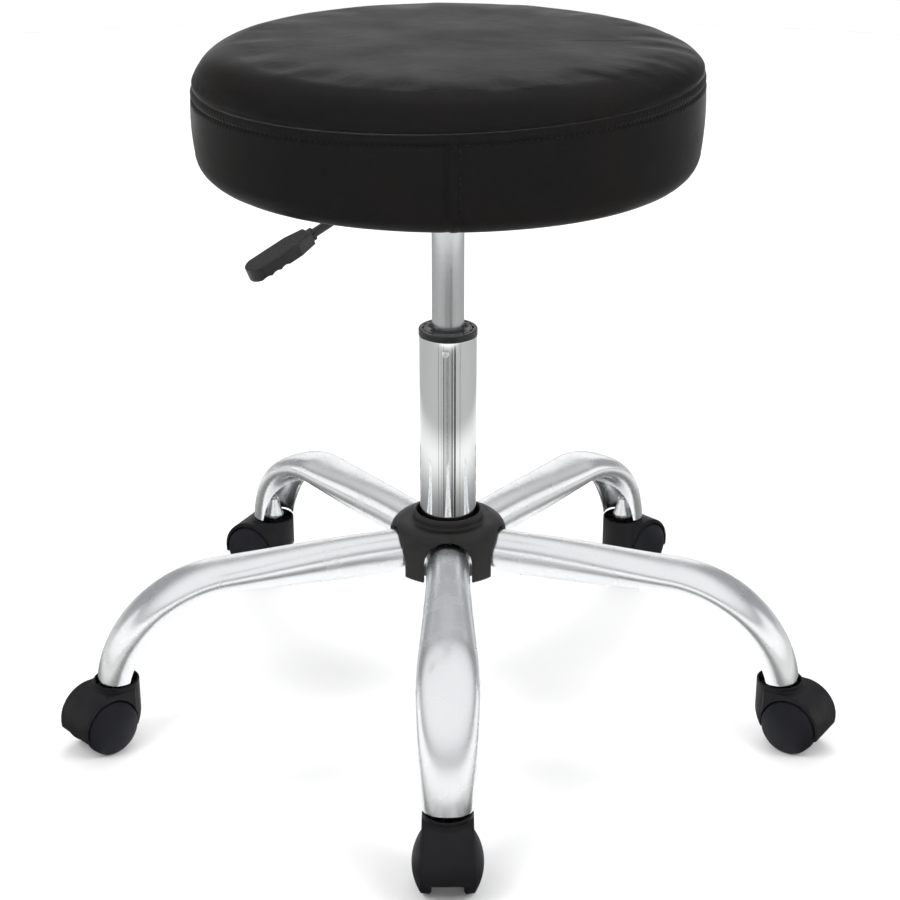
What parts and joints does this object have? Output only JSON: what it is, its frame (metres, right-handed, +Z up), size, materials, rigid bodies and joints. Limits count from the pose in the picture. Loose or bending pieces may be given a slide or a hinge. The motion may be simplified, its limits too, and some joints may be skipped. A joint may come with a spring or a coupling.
{
  "type": "rolling stylist stool",
  "caption": "Height-adjustable rolling stool for a stylist: padded round vinyl seat on a gas lift with a lever, chrome five-leg base and hooded twin-wheel casters.",
  "frame": {"origin": "on the floor, on the axis of the column", "axes": "+Z up along the column; -Y along leg 1, the front leg; +X to the right seen from the front"},
  "size_m": [0.6785, 0.6453, 0.597],
  "materials": {
    "chrome": "polished",
    "satin_steel": "satin",
    "steel_parts": "zinc plated",
    "black_steel": "semi-gloss",
    "black_plastic": "matt moulded",
    "wheel_nylon": "matt moulded",
    "bump_rubber": "matt",
    "black_vinyl": "satin, fine grain",
    "foam": "open cell",
    "plywood": "raw",
    "dust_cloth": "non-woven"
  },
  "bodies": {
    "root": {"leg_1": "chrome", "leg_2": "chrome", "leg_3": "chrome", "leg_4": "chrome", "leg_5": "chrome", "caster_stem_1": "steel_parts", "caster_stem_2": "steel_parts", "caster_stem_3": "steel_parts", "caster_stem_4": "steel_parts", "caster_stem_5": "steel_parts", "leg_sockets": "chrome", "stem_grip_rings": "steel_parts", "hub_core": "black_steel", "hub_cover": "black_plastic", "column_tube": "chrome", "column_bushing": "black_plastic", "bushing_rivet": "chrome", "thrust_bearing": "steel_parts"},
    "piston_rod": {"piston_rod": "steel_parts", "piston": "steel_parts", "bump_stop": "bump_rubber", "retaining_clip": "steel_parts"},
    "seat": {"gas_cylinder": "satin_steel", "rod_guide": "black_plastic", "seat_plate": "black_steel", "plate_screws": "steel_parts", "tee_nuts": "steel_parts", "seat_board": "plywood", "seat_foam": "foam", "seat_top_cover": "black_vinyl", "seat_side_band": "black_vinyl", "dust_cover": "dust_cloth", "staples": "steel_parts", "lever_pin": "steel_parts"},
    "lever": {"lever_rod": "black_steel", "lever_paddle": "black_plastic"},
    "release_button": {"release_button": "steel_parts"},
    "caster_1": {"caster_hood_1": "black_plastic", "caster_axle_1": "steel_parts"},
    "left_wheel_1": {"left_wheel_1": "wheel_nylon"},
    "right_wheel_1": {"right_wheel_1": "wheel_nylon"},
    "caster_2": {"caster_hood_2": "black_plastic", "caster_axle_2": "steel_parts"},
    "left_wheel_2": {"left_wheel_2": "wheel_nylon"},
    "right_wheel_2": {"right_wheel_2": "wheel_nylon"},
    "caster_3": {"caster_hood_3": "black_plastic", "caster_axle_3": "steel_parts"},
    "left_wheel_3": {"left_wheel_3": "wheel_nylon"},
    "right_wheel_3": {"right_wheel_3": "wheel_nylon"},
    "caster_4": {"caster_hood_4": "black_plastic", "caster_axle_4": "steel_parts"},
    "left_wheel_4": {"left_wheel_4": "wheel_nylon"},
    "right_wheel_4": {"right_wheel_4": "wheel_nylon"},
    "caster_5": {"caster_hood_5": "black_plastic", "caster_axle_5": "steel_parts"},
    "left_wheel_5": {"left_wheel_5": "wheel_nylon"},
    "right_wheel_5": {"right_wheel_5": "wheel_nylon"}
  },
  "joints": [
    {"name": "seat_swivel", "type": "hinge", "parent": "root", "child": "piston_rod", "pos_m": [0, 0, 0.12], "axis": [0, 0, 1], "continuous": true},
    {"name": "seat_height", "type": "slide", "parent": "piston_rod", "child": "seat", "axis": [0, 0, 1], "range_m": [-0.1, 0]},
    {"name": "lever_lift", "type": "hinge", "parent": "seat", "child": "lever", "pos_m": [-0.02472, -0.01699, 0.484], "axis": [-0.5664, 0.8241, 0], "range_deg": [0, 6], "stiffness_Nm_per_rad": 3},
    {"name": "button_press", "type": "slide", "parent": "seat", "child": "release_button", "axis": [0, 0, -1], "range_m": [0, 0.0032]},
    {"name": "caster_1_swivel", "type": "hinge", "parent": "root", "child": "caster_1", "pos_m": [0, -0.305, 0.05], "axis": [0, 0, 1], "continuous": true},
    {"name": "left_wheel_1_spin", "type": "hinge", "parent": "caster_1", "child": "left_wheel_1", "pos_m": [0, -0.3235, 0.025], "axis": [1, 0, 0], "continuous": true},
    {"name": "right_wheel_1_spin", "type": "hinge", "parent": "caster_1", "child": "right_wheel_1", "pos_m": [0, -0.3235, 0.025], "axis": [1, 0, 0], "continuous": true},
    {"name": "caster_2_swivel", "type": "hinge", "parent": "root", "child": "caster_2", "pos_m": [0.29007, -0.09425, 0.05], "axis": [0, 0, 1], "continuous": true},
    {"name": "left_wheel_2_spin", "type": "hinge", "parent": "caster_2", "child": "left_wheel_2", "pos_m": [0.30559, -0.10433, 0.025], "axis": [0.5446, 0.8387, 0], "continuous": true},
    {"name": "right_wheel_2_spin", "type": "hinge", "parent": "caster_2", "child": "right_wheel_2", "pos_m": [0.30559, -0.10433, 0.025], "axis": [0.5446, 0.8387, 0], "continuous": true},
    {"name": "caster_3_swivel", "type": "hinge", "parent": "root", "child": "caster_3", "pos_m": [0.17927, 0.24675, 0.05], "axis": [0, 0, 1], "continuous": true},
    {"name": "left_wheel_3_spin", "type": "hinge", "parent": "caster_3", "child": "left_wheel_3", "pos_m": [0.19258, 0.2596, 0.025], "axis": [-0.6947, 0.7193, 0], "continuous": true},
    {"name": "right_wheel_3_spin", "type": "hinge", "parent": "caster_3", "child": "right_wheel_3", "pos_m": [0.19258, 0.2596, 0.025], "axis": [-0.6947, 0.7193, 0], "continuous": true},
    {"name": "caster_4_swivel", "type": "hinge", "parent": "root", "child": "caster_4", "pos_m": [-0.17927, 0.24675, 0.05], "axis": [0, 0, 1], "continuous": true},
    {"name": "left_wheel_4_spin", "type": "hinge", "parent": "caster_4", "child": "left_wheel_4", "pos_m": [-0.1959, 0.25486, 0.025], "axis": [-0.4384, -0.8988, 0], "continuous": true},
    {"name": "right_wheel_4_spin", "type": "hinge", "parent": "caster_4", "child": "right_wheel_4", "pos_m": [-0.1959, 0.25486, 0.025], "axis": [-0.4384, -0.8988, 0], "continuous": true},
    {"name": "caster_5_swivel", "type": "hinge", "parent": "root", "child": "caster_5", "pos_m": [-0.29007, -0.09425, 0.05], "axis": [0, 0, 1], "continuous": true},
    {"name": "left_wheel_5_spin", "type": "hinge", "parent": "caster_5", "child": "left_wheel_5", "pos_m": [-0.30382, -0.10663, 0.025], "axis": [0.6691, -0.7431, 0], "continuous": true},
    {"name": "right_wheel_5_spin", "type": "hinge", "parent": "caster_5", "child": "right_wheel_5", "pos_m": [-0.30382, -0.10663, 0.025], "axis": [0.6691, -0.7431, 0], "continuous": true}
  ],
  "couplings": [
    {"joint": "button_press", "follows": "lever_lift", "m_per_rad": 0.03}
  ]
}
